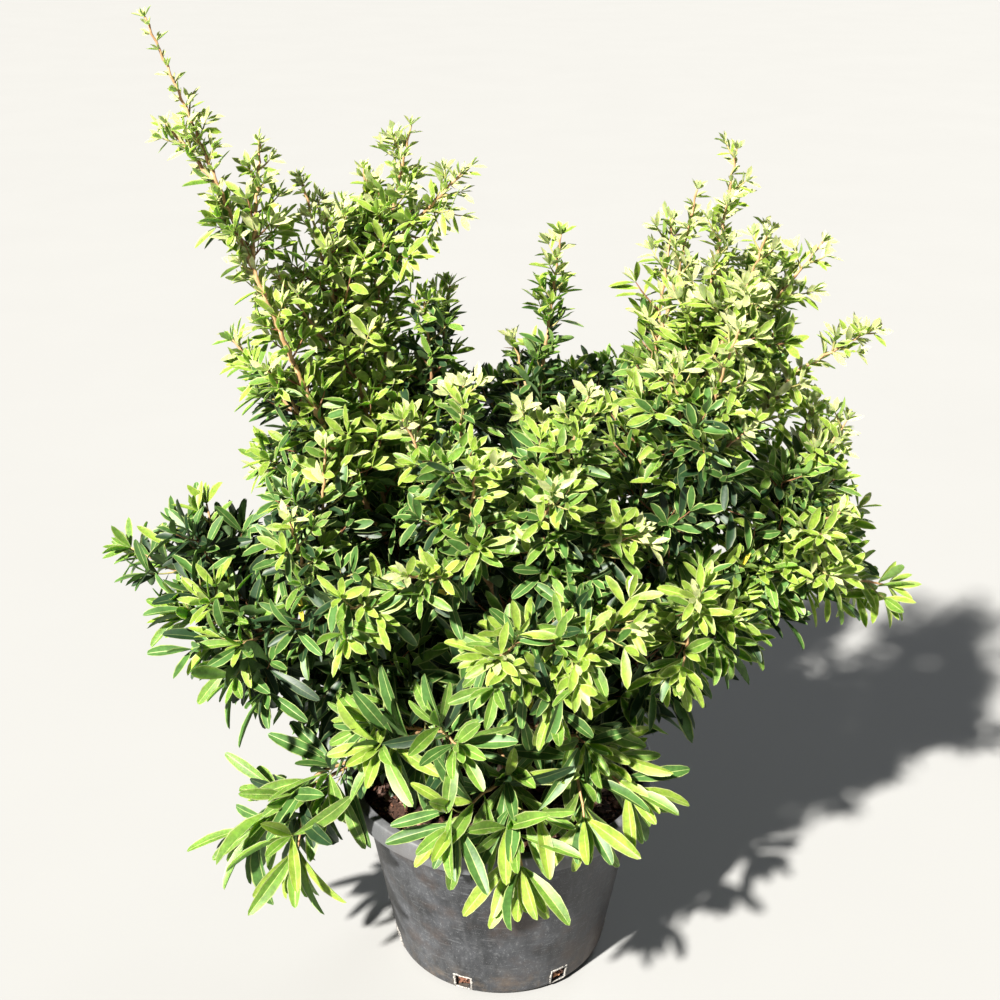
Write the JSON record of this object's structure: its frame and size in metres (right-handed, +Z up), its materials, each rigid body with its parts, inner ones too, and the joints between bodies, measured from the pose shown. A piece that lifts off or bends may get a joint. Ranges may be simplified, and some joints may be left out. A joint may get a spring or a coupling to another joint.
{
  "type": "potted navaho firethorn",
  "caption": "Evergreen firethorn shrub with upright and arching leafy shoots forking from a short trunk, in a round tapered nursery pot filled with bark mix.",
  "frame": {"origin": "centre of the pot's flat underside", "axes": "+Z up, +X to the plant's right as seen from the front, -Y towards the front"},
  "size_m": [0.7848, 0.5852, 0.9257],
  "materials": {
    "black_plastic": "matte charcoal, scuffed and dusty",
    "bark_soil": "damp crumbly bark mix",
    "bark": "reddish-brown bark",
    "foliage": "slightly glossy green leaves"
  },
  "bodies": {
    "root": {"pot": "black_plastic", "soil": "bark_soil", "trunk": "bark", "bough_left": "bark", "bough_left_inner": "bark", "bough_centre": "bark", "bough_right": "bark", "bough_right_low": "bark", "bough_front": "bark", "bough_left_low": "bark", "bough_back": "bark", "tall_left_shoot": "foliage", "left_outer_top": "foliage", "left_mid": "foliage", "left_inner_top": "foliage", "left_inner_right": "foliage", "centre_spire": "foliage", "centre_back": "foliage", "right_inner_top": "foliage", "right_mid_top": "foliage", "right_outer_top": "foliage", "right_front_top": "foliage", "right_mid": "foliage", "right_low": "foliage", "right_front": "foliage", "front_top_left": "foliage", "front_top_right": "foliage", "front_mid": "foliage", "left_front": "foliage", "left_low_back": "foliage", "left_low_front": "foliage", "back_left": "foliage", "back_right": "foliage", "back_low": "foliage", "back_low_left": "foliage", "back_low_right": "foliage", "low_left_spray": "foliage", "low_front_left": "foliage", "low_front_spray": "foliage", "low_right_spray": "foliage"}
  },
  "joints": []
}
